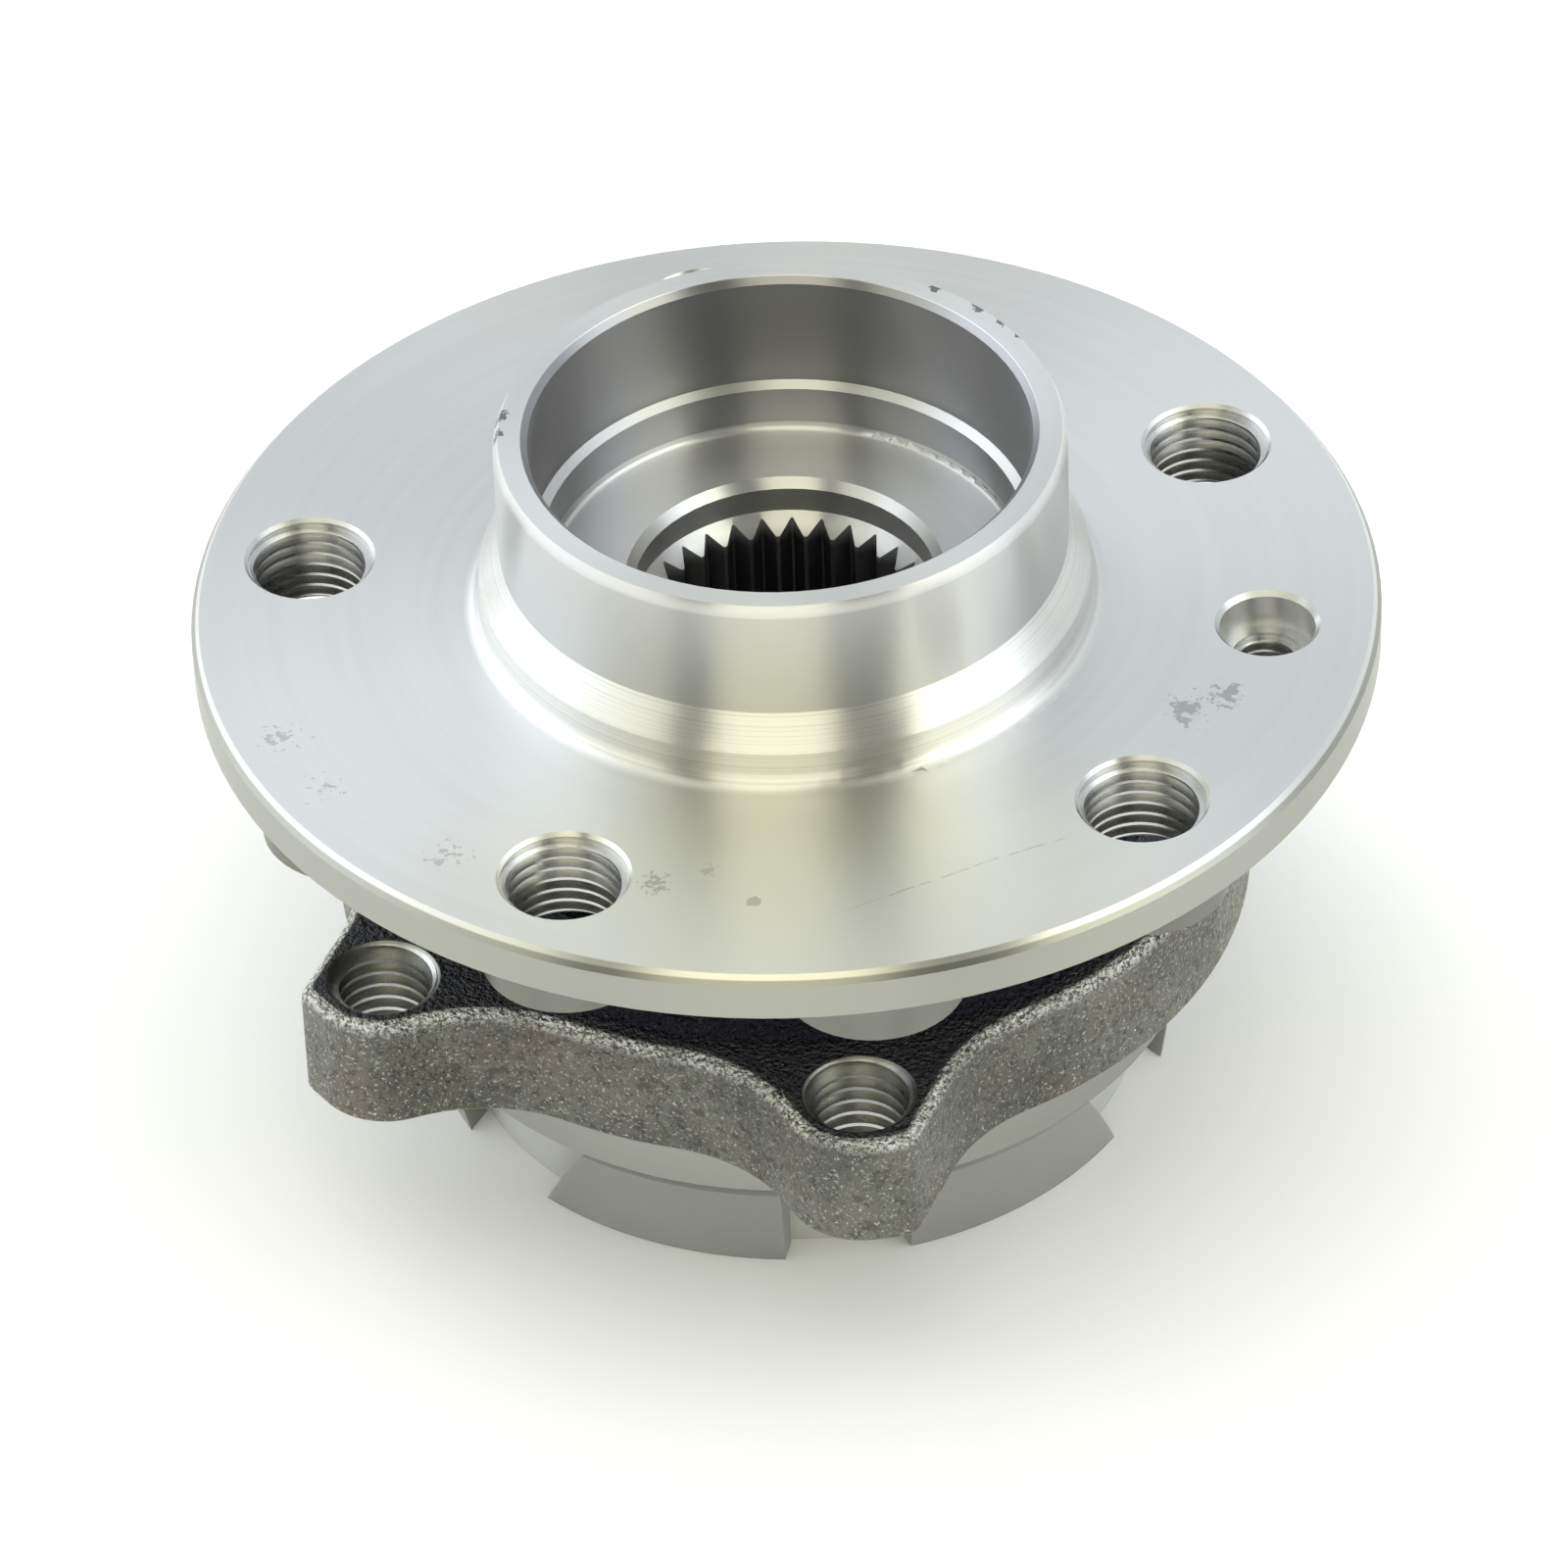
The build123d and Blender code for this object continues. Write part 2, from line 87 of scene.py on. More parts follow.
# %% Mounts by name
mounts = {mount["name"]: mount for mount in frame["record"]["mounts"]}
wheel_bolts = mounts["wheel_bolts"]["dims"]
knuckle_bolts = mounts["knuckle_bolts"]["dims"]
bolt_circle_radius = wheel_bolts["pcd_mm"] / 2 * MM
wheel_bolt_radius = wheel_bolts["hole_r_mm"] * MM
knuckle_bolt_radius = knuckle_bolts["hole_r_mm"] * MM
disc_screw_radius = mounts["disc_screw"]["dims"]["r_mm"] * MM
disc_screw_place = Vector(mounts["disc_screw"]["pos_m"])
knuckle_face = mounts["knuckle_face"]["pos_m"][2]
disc_screw_angle = math.atan2(disc_screw_place.y, disc_screw_place.x)
# The disc screw's hole lies midway between two wheel bolts.
wheel_bolt_step = 360 / wheel_bolts["count"]
wheel_bolt_angles = [
    disc_screw_angle + math.radians(wheel_bolt_step * (index + 0.5))
    for index in range(wheel_bolts["count"])
]
wheel_bolt_places = [
    Vector((bolt_circle_radius * math.cos(angle), bolt_circle_radius * math.sin(angle), 0))
    for angle in wheel_bolt_angles
]
knuckle_half_x = knuckle_bolts["spacing_x_mm"] / 2 * MM
knuckle_half_y = knuckle_bolts["spacing_y_mm"] / 2 * MM
knuckle_bolt_places = [
    Vector((side_x * knuckle_half_x, side_y * knuckle_half_y, 0))
    for side_x in (-1, 1) for side_y in (-1, 1)
]
print("wheel bolt angles:", [round(math.degrees(angle), 1) for angle in wheel_bolt_angles])

# %% [markdown]
# ## The camera
#
# The object is seen from above at about 38 degrees with a long lens, so its circles are clean
# ellipses. The camera is placed by azimuth, elevation and distance from the wheel face, looks at
# a point inside the bearing, and is then rolled by two degrees, as a hand-held camera is. The
# same azimuth is the front of the bearing, from which the light is later set out.

# %% Place the camera
front_azimuth = math.radians(-66.8)
camera_elevation = math.radians(38.475)
camera_distance = 1.0467
camera_roll = math.radians(-2.12)
camera_aim = Vector((-0.89, -0.38, -28.06)) * MM
camera_lens = 215.4
sensor_width = 36
nearest_seen = 0.01


def direction(azimuth, elevation=0.0):
    """A unit vector that points at an azimuth and an elevation, both in radians."""
    return Vector((math.cos(elevation) * math.cos(azimuth),
                   math.cos(elevation) * math.sin(azimuth),
                   math.sin(elevation)))


front = direction(front_azimuth)
sideways = Vector((-front.y, front.x, 0))
camera_place = camera_distance * direction(front_azimuth, camera_elevation)
camera = bpy.data.objects.new("camera", bpy.data.cameras.new("camera"))
bpy.context.scene.collection.objects.link(camera)
camera.data.lens = camera_lens
camera.data.sensor_width = sensor_width
camera.data.clip_start = nearest_seen
turn = (camera_aim - camera_place).to_track_quat("-Z", "Y")
camera.location = camera_place
camera.rotation_euler = (turn @ Quaternion((0, 0, 1), camera_roll)).to_euler()
bpy.context.scene.camera = camera
bpy.context.scene.view_settings.view_transform = "Standard"
print("camera at", tuple(round(value, 3) for value in camera_place))

# %% [markdown]
# ## Working on pieces with operators
#
# Operators act on whatever is selected, and the loaded nodes arrive selected. A few small helpers
# keep that in hand: one leaves a single object selected and active, one runs an operator on the
# whole of its mesh, and one runs it only on the points that pass a test, which is how a hand
# would click them.

# %% Selection helpers
smooth_up_to = math.radians(28)


def only(piece):
    """Makes one object the selected and active one."""
    if bpy.context.object and bpy.context.object.mode != "OBJECT":
        bpy.ops.object.mode_set(mode="OBJECT")
    bpy.ops.object.select_all(action="DESELECT")
    piece.hide_viewport = False
    piece.select_set(True)
    bpy.context.view_layer.objects.active = piece


def edit(piece, action):
    """Runs an operator on the whole of a piece's mesh in edit mode."""
    only(piece)
    bpy.ops.object.mode_set(mode="EDIT")
    bpy.ops.mesh.select_all(action="SELECT")
    action()
    bpy.ops.object.mode_set(mode="OBJECT")


def edit_points(piece, test, action):
    """Runs an operator on the points whose place passes a test, and returns their number."""
    edit(piece, lambda: bpy.ops.mesh.select_all(action="DESELECT"))
    picked = [vertex for vertex in piece.data.vertices if test(vertex.co)]
    for vertex in picked:
        vertex.select = True
    bpy.ops.object.mode_set(mode="EDIT")
    bpy.ops.mesh.select_mode(type="VERT")
    action()
    bpy.ops.object.mode_set(mode="OBJECT")
    return len(picked)


def move(value):
    """Moves what is selected in edit mode."""
    bpy.ops.transform.translate(value=value)


def smooth(piece):
    """Shades a piece smooth, except over edges that are sharper than the limit."""
    only(piece)
    bpy.ops.object.shade_smooth_by_angle(angle=smooth_up_to)


def apply_modifier(piece, kind, **settings):
    """Adds a modifier with its settings and applies it."""
    only(piece)
    bpy.ops.object.modifier_add(type=kind)
    modifier = piece.modifiers[-1]
    for key, value in settings.items():
        setattr(modifier, key, value)
    bpy.ops.object.modifier_apply(modifier=modifier.name)


print("pieces are smooth up to", round(math.degrees(smooth_up_to)), "degrees")

# %% [markdown]
# ## Dressed copies of the turned pieces
#
# A loaded node is made of loose triangles, so light breaks on each of them. The three pieces that
# show most are copied, their doubled points are merged, and the copy is shaded smooth up to a
# sharp edge. The copy then stands for the node, and its place is still in its mesh. On the hub,
# the ledge inside the recess is a sharp step in the solid. Its inner corner is lowered, so that
# the ledge catches light as a small chamfer does.

# %% Copy, merge and smooth
merge_distance = 0.001 * MM
normal_weight = 75
ledge_radius = 26.85 * MM
ledge_height = 8.35 * MM
ledge_drop = 0.6 * MM
corner_reach = 0.02 * MM         # how near a point lies to the corner that it belongs to


def dressed_copy(node, name, body):
    """A merged and smoothed copy of a CAD node, which then stands for it."""
    only(frame["nodes"][node])
    bpy.ops.object.duplicate()
    piece = bpy.context.object
    bpy.ops.object.parent_clear(type="CLEAR_KEEP_TRANSFORM")
    for key in list(piece.keys()):
        del piece[key]
    piece.name = name
    bpy.ops.mesh.customdata_custom_splitnormals_clear()
    edit(piece, lambda: bpy.ops.mesh.remove_doubles(threshold=merge_distance))
    smooth(piece)
    apply_modifier(piece, "WEIGHTED_NORMAL", keep_sharp=True, weight=normal_weight)
    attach(piece, body)
    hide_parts(node)
    print(name, "has", len(piece.data.polygons), "faces")
    return piece


def slope_ledge(piece, radius, height, drop):
    """Lowers the inner corner of a turned ledge, which makes the ledge a chamfer."""
    count = edit_points(
        piece,
        lambda place: abs(place.z - height) < corner_reach
        and abs(place.xy.length - radius) < corner_reach,
        lambda: move((0, 0, -drop)))
    smooth(piece)
    print("the ledge's corner has", count, "points, lowered by", drop / MM, "mm")


hub = dressed_copy("wheel_hub", "turned_hub", "hub")
slope_ledge(hub, ledge_radius, ledge_height, ledge_drop)
ring = dressed_copy("outer_ring", "forged_ring", "outer_ring")
cap = dressed_copy("protective_cap", "storage_cap", "cap")

# %% [markdown]
# ## Threads
#
# The solids have smooth holes at the thread's nominal size. On the real part a tap cuts a helix
# that leaves ridges pointing at the hole's axis. One ridge section is laid out as a flat bar as
# wide as the thread's root, and the whole bar is narrowed to the width of its crest, a quarter of
# the pitch. A Screw modifier sweeps it over the depth of the hole, and a cone takes away what
# would stand in the countersink, so the first turn fades out as a real one does. The flanks of a
# real thread slope and these are upright, so the grooves between the ridges are wider than real.

# %% Tap one hole
thread_depth_share = 0.541       # of the pitch, as a metric thread has
crest_share = 0.125              # half the width of a crest and of a root, also of the pitch
root_share = 0.44
steps_per_turn = 64
turns_below = 1.5                # the sweep starts so far under the hole, and ends above it
turns_above = 2
sink = 0.05 * MM                 # how far a ridge's foot lies inside the wall
cone_clearance = 0.02 * MM
cone_corners = 96
cone_turns = 4                   # the height of a cone in turns of the thread


def cut_cone(piece, narrow, z, way, height):
    """Takes away a 45 degree cone: it is narrow at z and widens upwards or downwards."""
    wide = narrow + height
    low, high = (narrow, wide) if way > 0 else (wide, narrow)
    bpy.ops.mesh.primitive_cone_add(vertices=cone_corners, radius1=low, radius2=high,
                                    depth=height, location=(0, 0, z + way * height / 2))
    cutter = bpy.context.object
    apply_modifier(piece, "BOOLEAN", object=cutter, operation="DIFFERENCE", solver="EXACT")
    bpy.data.objects.remove(cutter)


def tapped_ridge(name, radius, pitch, top, bottom, mouth):
    """Ridges of a thread about the Z axis between two heights, trimmed by its countersinks."""
    depth = thread_depth_share * pitch
    crest = radius - depth
    start = bottom - turns_below * pitch
    turns = math.ceil((top - start) / pitch) + turns_above
    bpy.ops.mesh.primitive_plane_add(size=1, rotation=(math.pi / 2, 0, 0))
    ridge = bpy.context.object
    ridge.name = name
    bpy.ops.object.transform_apply(location=True, rotation=True, scale=True)
    bar = (depth + sink, 1, 2 * root_share * pitch)
    edit(ridge, lambda: bpy.ops.transform.resize(value=bar))
    edit(ridge, lambda: move((radius + sink - (depth + sink) / 2, 0, start)))
    edit(ridge, lambda: bpy.ops.transform.resize(value=(1, 1, crest_share / root_share),
                                                 center_override=(crest, 0, start)))
    apply_modifier(ridge, "SCREW", angle=2 * math.pi, screw_offset=pitch, iterations=turns,
                   steps=steps_per_turn, render_steps=steps_per_turn, use_merge_vertices=False)
    edit(ridge, lambda: bpy.ops.mesh.remove_doubles(threshold=merge_distance))
    edit(ridge, lambda: bpy.ops.mesh.fill_holes(sides=4))
    edit(ridge, lambda: bpy.ops.mesh.normals_make_consistent(inside=False))
    inset = mouth + depth + cone_clearance
    cut_cone(ridge, crest - cone_clearance, top - inset, 1, cone_turns * pitch)
    cut_cone(ridge, crest - cone_clearance, bottom + inset, -1, cone_turns * pitch)
    heights = [vertex.co.z / MM for vertex in ridge.data.vertices]
    print(f"{name}: {turns} turns swept, kept from {min(heights):.2f} to {max(heights):.2f} mm")
    return ridge


# %% [markdown]
# One ridge is made for each thread size and copied into its holes. Every copy gets its own mesh,
# moved in edit mode, so each object stays at the origin and rides on the body that it is cut in.

# %% Put the threads in their holes
boss_bottom = -11.4 * MM         # heights where the holes begin or end, from the flange's face
knuckle_top = -24.4 * MM
disc_screw_recess = -4.6 * MM
wheel_thread_pitch = 1.5 * MM
knuckle_thread_pitch = 1.75 * MM
disc_screw_pitch = 1.25 * MM
wheel_mouth = 0.4 * MM           # how wide a countersink is, measured from the hole's wall
knuckle_mouth = 0.2 * MM
no_mouth = 0


def thread_copies(model, places, body):
    """Copies a thread into each place and lets the copies ride on a body."""
    made = []
    for number, place in enumerate(places, start=1):
        only(model)
        bpy.ops.object.duplicate()
        copy = bpy.context.object
        copy.name = f"{model.name}_{number}"
        edit(copy, lambda: move((place.x, place.y, 0)))
        smooth(copy)
        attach(copy, body)
        made.append(copy)
    bpy.data.objects.remove(model)
    return made


threads = thread_copies(
    tapped_ridge("wheel_bolt_thread", wheel_bolt_radius, wheel_thread_pitch, 0, boss_bottom,
                 wheel_mouth),
    wheel_bolt_places, "hub")
threads += thread_copies(
    tapped_ridge("knuckle_bolt_thread", knuckle_bolt_radius, knuckle_thread_pitch, knuckle_top,
                 knuckle_face, knuckle_mouth),
    knuckle_bolt_places, "outer_ring")
threads += thread_copies(
    tapped_ridge("disc_screw_thread", disc_screw_radius, disc_screw_pitch, disc_screw_recess,
                 boss_bottom, no_mouth),
    [disc_screw_place], "hub")

# %% [markdown]
# ## Materials from nodes
#
# Every finish is a small network of nodes on a Principled shader. Patterns that several finishes
# share are kept as node groups, which hand out only masks and values. All of them read Object
# coordinates, and since each object stands at the origin these are metres in the bearing's own
# frame: x and y run across the axis and z runs along it.

# %% Node helpers
def add(tree, kind, inputs=None, **settings):
    """Adds a node. An input is a number, a colour or another node's output."""
    node = tree.nodes.new(kind)
    for name, value in settings.items():
        setattr(node, name, value)
    for name, value in (inputs or {}).items():
        if isinstance(value, bpy.types.NodeSocket):
            tree.links.new(value, node.inputs[name])
        else:
            node.inputs[name].default_value = value
    return node


def calc(tree, operation, first, *others):
    """Arithmetic on values, one after another from left to right."""
    if not others:
        return add(tree, "ShaderNodeMath", {0: first}, operation=operation).outputs[0]
    for other in others:
        node = add(tree, "ShaderNodeMath", {0: first, 1: other}, operation=operation)
        first = node.outputs[0]
    return first


def both(tree, *masks):
    """Where every mask holds."""
    return calc(tree, "MULTIPLY", *masks)


def either(tree, *masks):
    """Where at least one mask holds."""
    return calc(tree, "MAXIMUM", *masks)


def outside(tree, mask):
    """Where a mask doesn't hold."""
    return calc(tree, "SUBTRACT", 1.0, mask)


def gap(tree, value, middle):
    """How far a value is from the middle, either way."""
    return calc(tree, "ABSOLUTE", calc(tree, "SUBTRACT", value, middle))


def measure(tree, operation, first, second=(0.0, 0.0, 0.0)):
    """The length, distance or dot product of vectors."""
    node = add(tree, "ShaderNodeVectorMath", {0: first, 1: second}, operation=operation)
    return node.outputs["Value"]


def split(tree, vector):
    """The X, Y and Z of a vector."""
    return add(tree, "ShaderNodeSeparateXYZ", {0: vector}).outputs


def joined(tree, **parts):
    """A vector from its X, Y and Z."""
    return add(tree, "ShaderNodeCombineXYZ", parts).outputs[0]


def fade(tree, value, start, end, low=0.0, high=1.0):
    """Goes smoothly from low to high while the value goes from start to end."""
    node = add(tree, "ShaderNodeMapRange", {
        "Value": value, "From Min": start, "From Max": end, "To Min": low, "To Max": high,
    }, interpolation_type="SMOOTHSTEP")
    return node.outputs["Result"]


def within(tree, value, enter, leave):
    """Holds between two borders. Each gives where the mask starts and where it is full."""
    return both(tree, fade(tree, value, *enter), fade(tree, value, *leave))


def blend(tree, amount, first, second):
    """Mixes two colours."""
    node = add(tree, "ShaderNodeMix", {0: amount, 6: first, 7: second}, data_type="RGBA")
    return node.outputs[2]


def layers(tree, colour, *coats):
    """Lays coats over a colour. A coat is a mask and its colour."""
    for mask, coat in coats:
        colour = blend(tree, mask, colour, coat)
    return colour


def noise(tree, vector, scale, detail=2.0, rough=0.5, **inputs):
    """Soft random values from 0 to 1."""
    values = {"Vector": vector, "Scale": scale, "Detail": detail, "Roughness": rough}
    values.update(inputs)
    dimensions = "4D" if "W" in inputs else "3D"
    return add(tree, "ShaderNodeTexNoise", values, noise_dimensions=dimensions).outputs["Fac"]


def object_place(tree):
    """A point's place on its object."""
    return add(tree, "ShaderNodeTexCoord").outputs["Object"]


def grey(value, warmth=0.0):
    """A grey, a little warmer in red and colder in blue."""
    return (value * (1 + warmth), value, value * (1 - warmth), 1.0)


print("node helpers are ready")

# %% [markdown]
# ### Shared patterns
#
# Everything on a lathe turns about the axis, so its tool leaves fine circles. Stretched noise
# gives them: it changes fast with the radius and the height, and slowly round the axis. A second
# group measures where a point is, so that a finish can change between a forging's skin and its
# machined faces. A third breaks up a patch, for the marks that fingers and knocks leave.

# %% Group: place and turning marks
def new_group(name, inputs, outputs):
    """An empty node group with number and vector sockets."""
    tree = bpy.data.node_groups.new(name, "ShaderNodeTree")
    for socket, default in inputs.items():
        kind = "NodeSocketVector" if isinstance(default, tuple) else "NodeSocketFloat"
        made = tree.interface.new_socket(socket, in_out="INPUT", socket_type=kind)
        made.default_value = default
    for socket in outputs:
        tree.interface.new_socket(socket, in_out="OUTPUT", socket_type="NodeSocketFloat")
    return tree, tree.nodes.new("NodeGroupInput").outputs, tree.nodes.new("NodeGroupOutput").inputs


def use_group(tree, group, **inputs):
    """The outputs of a node that stands for a group."""
    values = {name.capitalize(): value for name, value in inputs.items()}
    return add(tree, "ShaderNodeGroup", values, node_tree=group).outputs


place_group, _, place_out = new_group("place_on_bearing", {}, ["Radius", "Height"])
place_axes = split(place_group, object_place(place_group))
place_flat = joined(place_group, X=place_axes["X"], Y=place_axes["Y"])
place_group.links.new(measure(place_group, "LENGTH", place_flat), place_out["Radius"])
place_group.links.new(place_axes["Z"], place_out["Height"])


def place_on_bearing(tree):
    """A point's distance from the axis and its height along it."""
    place = use_group(tree, place_group)
    return place["Radius"], place["Height"]


marks_group, marks_in, marks_out = new_group(
    "turning_marks", {"Pitch": 0.0003, "Drift": 1.5}, ["Lines"])
marks_radius, marks_height = place_on_bearing(marks_group)
marks_axes = split(marks_group, object_place(marks_group))
marks_way = [
    calc(marks_group, "MULTIPLY", marks_in["Drift"],
         calc(marks_group, "DIVIDE", marks_axes[name], marks_radius))
    for name in ("X", "Y")
]
marks_vector = joined(
    marks_group,
    X=calc(marks_group, "DIVIDE", marks_radius, marks_in["Pitch"]),
    Y=calc(marks_group, "DIVIDE", marks_height, marks_in["Pitch"]),
    Z=marks_way[0])
marks_group.links.new(
    noise(marks_group, marks_vector, 1.0, 2.0, 0.6, W=marks_way[1]), marks_out["Lines"])


def turning_marks(tree, pitch, drift):
    """Fine circles so far apart in metres; with more drift they change faster on the way round."""
    return use_group(tree, marks_group, pitch=pitch, drift=drift)["Lines"]


print("groups:", place_group.name, marks_group.name)


# %% Group: broken patch
patch_pull = 0.35                # how much a point near the centre is favoured
patch_bar = 1.05                 # the level that an uncovered point would have to reach
patch_cover_share = 0.5          # how far full cover lowers that level
patch_softness = 0.05
patch_margin = 0.15              # the share of the reach over which a patch dies out

patch_group, patch_in, patch_out = new_group(
    "broken_patch",
    {"Centre": (0.0, 0.0, 0.0), "Reach": 0.01, "Grain": 400.0, "Cover": 0.5}, ["Mask"])
patch_point = object_place(patch_group)
patch_away = measure(patch_group, "DISTANCE", patch_point, patch_in["Centre"])
patch_near = outside(patch_group, calc(patch_group, "DIVIDE", patch_away, patch_in["Reach"]))
patch_level = calc(patch_group, "ADD", calc(patch_group, "MULTIPLY", patch_near, patch_pull),
                   noise(patch_group, patch_point, patch_in["Grain"], 3.0, 0.6))
patch_edge = calc(patch_group, "SUBTRACT", patch_bar,
                  calc(patch_group, "MULTIPLY", patch_in["Cover"], patch_cover_share))
patch_mask = fade(patch_group, calc(patch_group, "SUBTRACT", patch_level, patch_edge),
                  0.0, patch_softness)
patch_inside = fade(patch_group, patch_near, 0.0, patch_margin)
patch_group.links.new(both(patch_group, patch_mask, patch_inside), patch_out["Mask"])


def patches(tree, places):
    """Broken patches. Each has a centre, a reach in metres, a grain and a cover from 0 to 1."""
    return either(tree, *[
        use_group(tree, patch_group, centre=centre, reach=reach, grain=grain, cover=cover)["Mask"]
        for centre, reach, grain, cover in places
    ])


print("group:", patch_group.name)

# %% [markdown]
# ### Turned steel
#
# The hub is bright steel straight from the lathe. Its circles spread light across the grooves, so
# a turned face shows fans of light that run out from the axis. The Principled shader does this
# with Anisotropic, and a Tangent node set to radial gives it the way of the grooves. The shader
# draws a highlight out along the tangent, so Anisotropic Rotation turns it by a quarter.
#
# Some of the shading is painted. The rim, the back, the pilot's wall and the hollow in its middle
# are darker than the bare faces: that is painted shade. The front of the flange is paler and
# yellowish: that is a painted warm reflection. Such tints stand for shadows, and for things that
# steel reflects in a room but not in this tent.

# %% Shader helpers
quarter_turn = 0.25


def new_material(name, metallic=0.0):
    """A material with only a Principled shader, and its node tree."""
    material = bpy.data.materials.new(name)
    material.use_nodes = True
    tree = material.node_tree
    shader = tree.nodes["Principled BSDF"]
    shader.inputs["Metallic"].default_value = metallic
    return material, tree, shader


def connect(tree, shader, **sources):
    """Links sources to the shader's sockets of those names."""
    for name, source in sources.items():
        tree.links.new(source, shader.inputs[name.replace("_", " ").title()])


def brushed_about_axis(tree, shader, amount):
    """Draws the shader's highlights out across the turning marks."""
    tangent = add(tree, "ShaderNodeTangent", direction_type="RADIAL", axis="Z")
    tree.links.new(tangent.outputs[0], shader.inputs["Tangent"])
    shader.inputs["Anisotropic"].default_value = amount
    shader.inputs["Anisotropic Rotation"].default_value = quarter_turn


def bumps(tree, height, depth):
    """Turns heights from 0 to 1 into a surface that deep."""
    return add(tree, "ShaderNodeBump", {
        "Height": height, "Distance": depth, "Strength": 1.0}).outputs["Normal"]


print("an anisotropic highlight is turned by", 360 * quarter_turn, "degrees")

# %% Turned steel: what lies on its faces
# A border gives where a mask starts and where it is full, as radii or heights.
above_face = (-0.20 * MM, -0.10 * MM)
seat_starts, seat_ends = (0.12 * MM, 0.22 * MM), (8.30 * MM, 8.10 * MM)
outside_pilot = (30.0 * MM, 30.2 * MM)
# The back of the flange gets painted shade below this border.
painted_shade_behind_flange = (-5.4 * MM, -6.2 * MM)
# The rim's wall gets painted shade beyond this border.
painted_shade_rim_starts = (65.85 * MM, 66.00 * MM)
pilot_wall = (31.15 * MM, 31.35 * MM)
pilot_starts, pilot_ends = (8.1 * MM, 8.3 * MM), (21.3 * MM, 21.1 * MM)
recess_wall = (30.0 * MM, 29.5 * MM)
recess_starts, recess_ends = (3.0 * MM, 3.3 * MM), (22.48 * MM, 22.40 * MM)
ledge_middle = ledge_height - ledge_drop / 2
off_ledge = (0.28 * MM, 0.36 * MM)
spline_wall = (17.2 * MM, 16.6 * MM)
spline_depth = (-2.8 * MM, -5.2 * MM)
# Borders of the painted warm reflection on the front of the flange, forwards and aside.
warm_reflection_forward = (26 * MM, 46 * MM)
warm_reflection_aside = (55 * MM, 8 * MM)

finger_smudges = (
    ((-0.0425, -0.0430, 0), 0.0062, 900, 0.52),
    ((-0.0345, -0.0490, 0), 0.0056, 950, 0.46),
    ((-0.0174, -0.0551, 0), 0.0060, 1000, 0.50),
    ((0.0490, -0.0045, 0), 0.0050, 850, 0.66),
    ((0.0524, -0.0005, 0), 0.0030, 900, 0.78),
    ((0.0057, -0.0518, 0), 0.0034, 1350, 0.66),
    ((0.0101, -0.0478, 0), 0.0018, 1300, 0.70),
    ((0.0167, -0.0509, 0), 0.0010, 1300, 1.00),
)
rim_nicks = (
    ((0.0066, 0.0300, 0.0223), 0.0009, 1500, 1.0),
    ((0.0126, 0.0286, 0.0223), 0.0012, 1500, 1.0),
    ((0.0163, 0.0268, 0.0223), 0.0011, 1500, 1.0),
    ((0.0188, 0.0252, 0.0222), 0.0009, 1500, 1.0),
    ((-0.0303, -0.0080, 0.0221), 0.0014, 1500, 1.0),
    ((-0.0292, -0.0112, 0.0221), 0.0011, 1500, 1.0),
)
scratch_from_axis = 53.3 * MM
scratch_wander = 1.6 * MM
scratch_edge = (0.12 * MM, 0.05 * MM)
scratch_starts, scratch_ends = (-22 * MM, -10 * MM), (8.5 * MM, 7.0 * MM)

turned_steel, tree, shader = new_material("turned_steel", metallic=1.0)
point = object_place(tree)
radius, height = place_on_bearing(tree)
fine_lines = turning_marks(tree, 0.00016, 1.2)
broad_lines = turning_marks(tree, 0.0016, 0.8)
seat_lines = turning_marks(tree, 0.00030, 0.05)

on_face = fade(tree, height, *above_face)
stained = both(tree, patches(tree, finger_smudges), on_face)
nicked = patches(tree, rim_nicks)
scratch_side = measure(tree, "DOT_PRODUCT", point, (-0.742, 0.670, 0))
scratch_along = measure(tree, "DOT_PRODUCT", point, (0.670, 0.742, 0))
wander = calc(tree, "MULTIPLY", noise(tree, point, 90), scratch_wander)
from_scratch = gap(tree, calc(tree, "ADD", scratch_side, scratch_from_axis), wander)
scratch = both(
    tree, fade(tree, from_scratch, *scratch_edge),
    within(tree, scratch_along, scratch_starts, scratch_ends),
    fade(tree, noise(tree, point, 700, 2.0, 0.6), 0.38, 0.55), on_face)
print("marks on the hub:", len(finger_smudges), "smudges,", len(rim_nicks), "nicks, one scratch")

# %% Turned steel: its tints and its shader
# Painted warm reflection: a paler, yellowish tint on the front of the flange.
warm_reflection_across = measure(tree, "DOT_PRODUCT", point, sideways)
painted_warm_reflection = both(tree, fade(tree, measure(tree, "DOT_PRODUCT", point, front), *warm_reflection_forward),
            fade(tree, calc(tree, "ABSOLUTE", warm_reflection_across), *warm_reflection_aside))
on_seat = both(tree, within(tree, height, seat_starts, seat_ends),
               fade(tree, radius, *outside_pilot))
seat_grooves = both(tree, on_seat, fade(tree, seat_lines, 0.47, 0.42))
# Painted shade: the pilot's wall is darker than the bare steel.
painted_shade_on_pilot = both(tree, fade(tree, radius, *pilot_wall),
                within(tree, height, pilot_starts, pilot_ends))
# Painted shade in the recess, everywhere but on its ledge.
painted_shade_in_recess = both(tree, fade(tree, radius, *recess_wall),
                 within(tree, height, recess_starts, recess_ends),
                 fade(tree, gap(tree, height, ledge_middle), *off_ledge))
# Painted shade deep in the splined bore.
painted_shade_in_spline = both(tree, fade(tree, radius, *spline_wall), fade(tree, height, *spline_depth))
